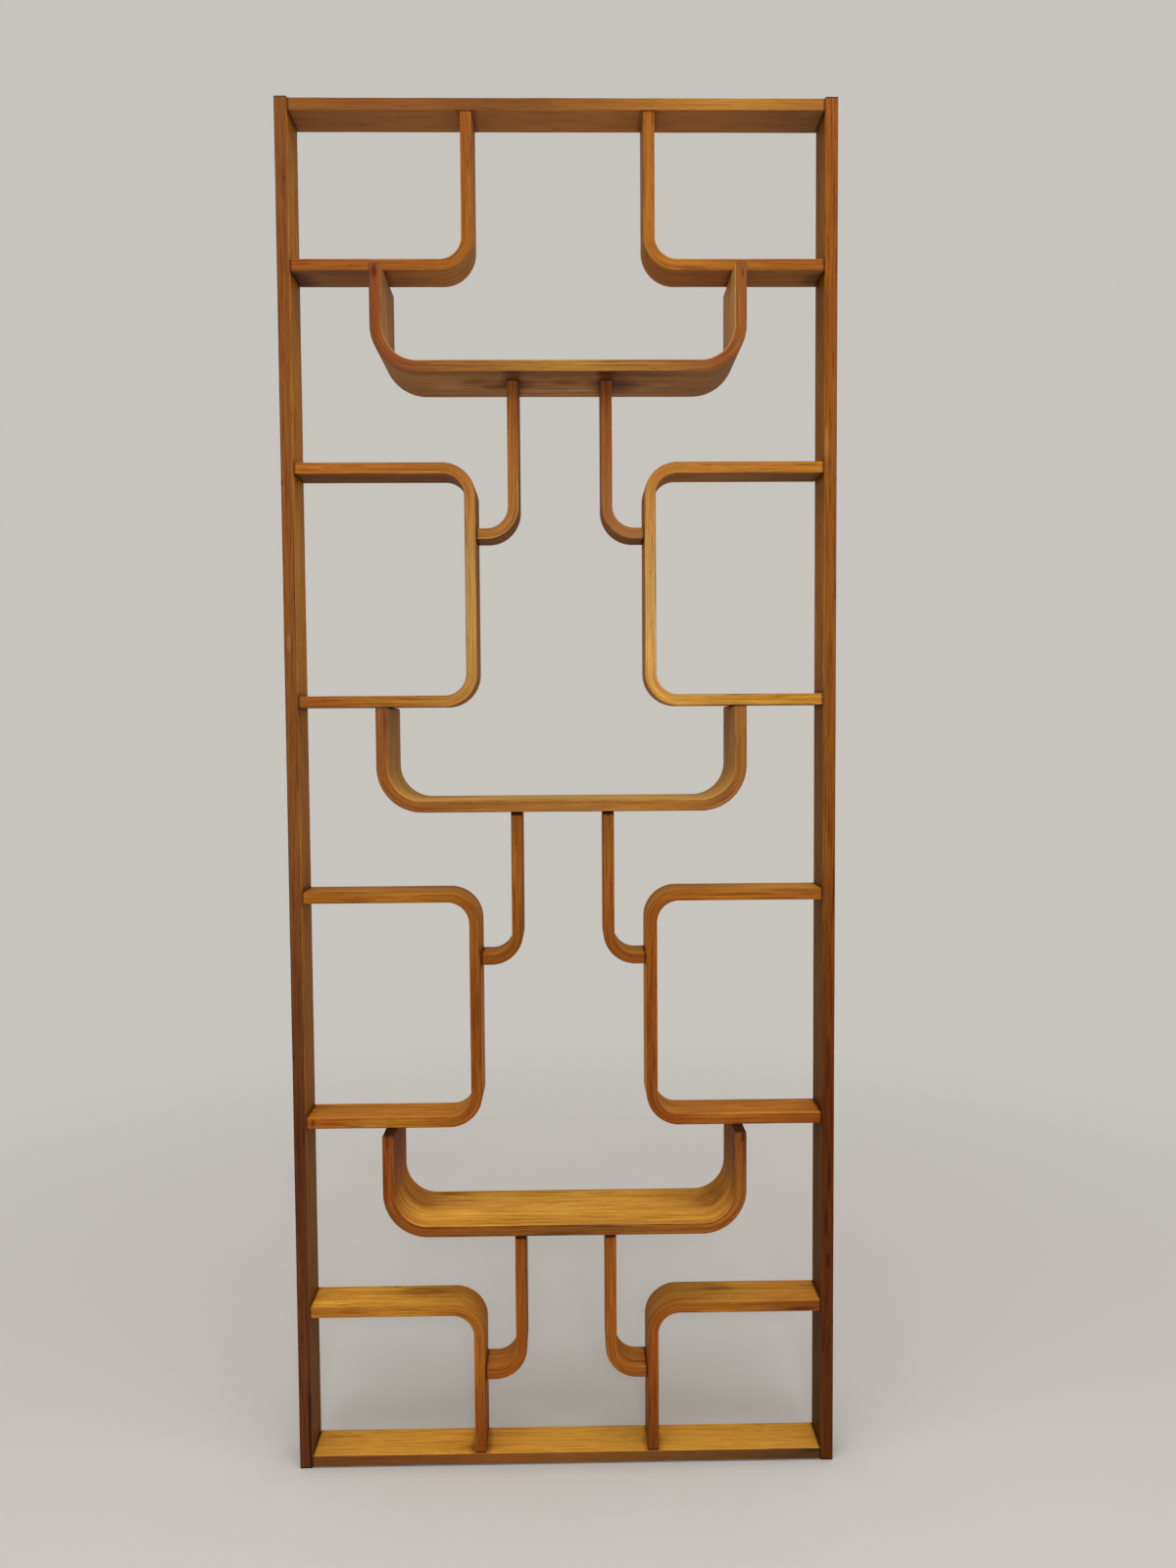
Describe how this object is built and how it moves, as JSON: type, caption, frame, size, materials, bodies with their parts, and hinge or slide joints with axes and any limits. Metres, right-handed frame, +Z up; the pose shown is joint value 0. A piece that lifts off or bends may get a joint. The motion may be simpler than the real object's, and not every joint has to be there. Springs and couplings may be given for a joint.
{
  "type": "room divider",
  "caption": "Tall open room divider of bent laminated wood strips, with wide hanging trays, small hooks and square loops between slim stiles.",
  "frame": {"origin": "on the floor, midway between the stiles and midway through the depth", "axes": "+X along the width to the viewer's right, +Y through the depth away from the viewer, +Z up"},
  "size_m": [0.87, 0.14, 2.174],
  "materials": {
    "frame_wood": "satin varnish",
    "loop_wood": "satin varnish",
    "tray_wood": "satin varnish",
    "hook_wood": "satin varnish",
    "dowel_wood": "bare, sanded"
  },
  "bodies": {
    "root": {"left_stile": "frame_wood", "right_stile": "frame_wood", "top_rail": "frame_wood", "bottom_rail": "frame_wood", "top_bracket_left": "loop_wood", "top_bracket_right": "loop_wood", "upper_loop_left": "loop_wood", "upper_loop_right": "loop_wood", "lower_loop_left": "loop_wood", "lower_loop_right": "loop_wood", "bottom_bracket_left": "loop_wood", "bottom_bracket_right": "loop_wood", "upper_tray": "tray_wood", "middle_tray": "tray_wood", "lower_tray": "tray_wood", "upper_hook_left": "hook_wood", "upper_hook_right": "hook_wood", "middle_hook_left": "hook_wood", "middle_hook_right": "hook_wood", "lower_hook_left": "hook_wood", "lower_hook_right": "hook_wood", "dowel_bottom_bracket_rail_left": "dowel_wood", "dowel_bottom_bracket_rail_right": "dowel_wood", "dowel_bottom_bracket_stile_left": "dowel_wood", "dowel_bottom_bracket_stile_right": "dowel_wood", "dowel_bottom_rail_left": "dowel_wood", "dowel_bottom_rail_right": "dowel_wood", "dowel_lower_hook_loop_left": "dowel_wood", "dowel_lower_hook_loop_right": "dowel_wood", "dowel_lower_hook_tray_left": "dowel_wood", "dowel_lower_hook_tray_right": "dowel_wood", "dowel_lower_loop_bottom_left": "dowel_wood", "dowel_lower_loop_bottom_right": "dowel_wood", "dowel_lower_loop_top_left": "dowel_wood", "dowel_lower_loop_top_right": "dowel_wood", "dowel_lower_tray_left": "dowel_wood", "dowel_lower_tray_right": "dowel_wood", "dowel_middle_hook_loop_left": "dowel_wood", "dowel_middle_hook_loop_right": "dowel_wood", "dowel_middle_hook_tray_left": "dowel_wood", "dowel_middle_hook_tray_right": "dowel_wood", "dowel_middle_tray_left": "dowel_wood", "dowel_middle_tray_right": "dowel_wood", "dowel_top_bracket_rail_left": "dowel_wood", "dowel_top_bracket_rail_right": "dowel_wood", "dowel_top_bracket_stile_left": "dowel_wood", "dowel_top_bracket_stile_right": "dowel_wood", "dowel_top_rail_left": "dowel_wood", "dowel_top_rail_right": "dowel_wood", "dowel_upper_hook_loop_left": "dowel_wood", "dowel_upper_hook_loop_right": "dowel_wood", "dowel_upper_hook_tray_left": "dowel_wood", "dowel_upper_hook_tray_right": "dowel_wood", "dowel_upper_loop_bottom_left": "dowel_wood", "dowel_upper_loop_bottom_right": "dowel_wood", "dowel_upper_loop_top_left": "dowel_wood", "dowel_upper_loop_top_right": "dowel_wood", "dowel_upper_tray_left": "dowel_wood", "dowel_upper_tray_right": "dowel_wood"}
  },
  "joints": []
}
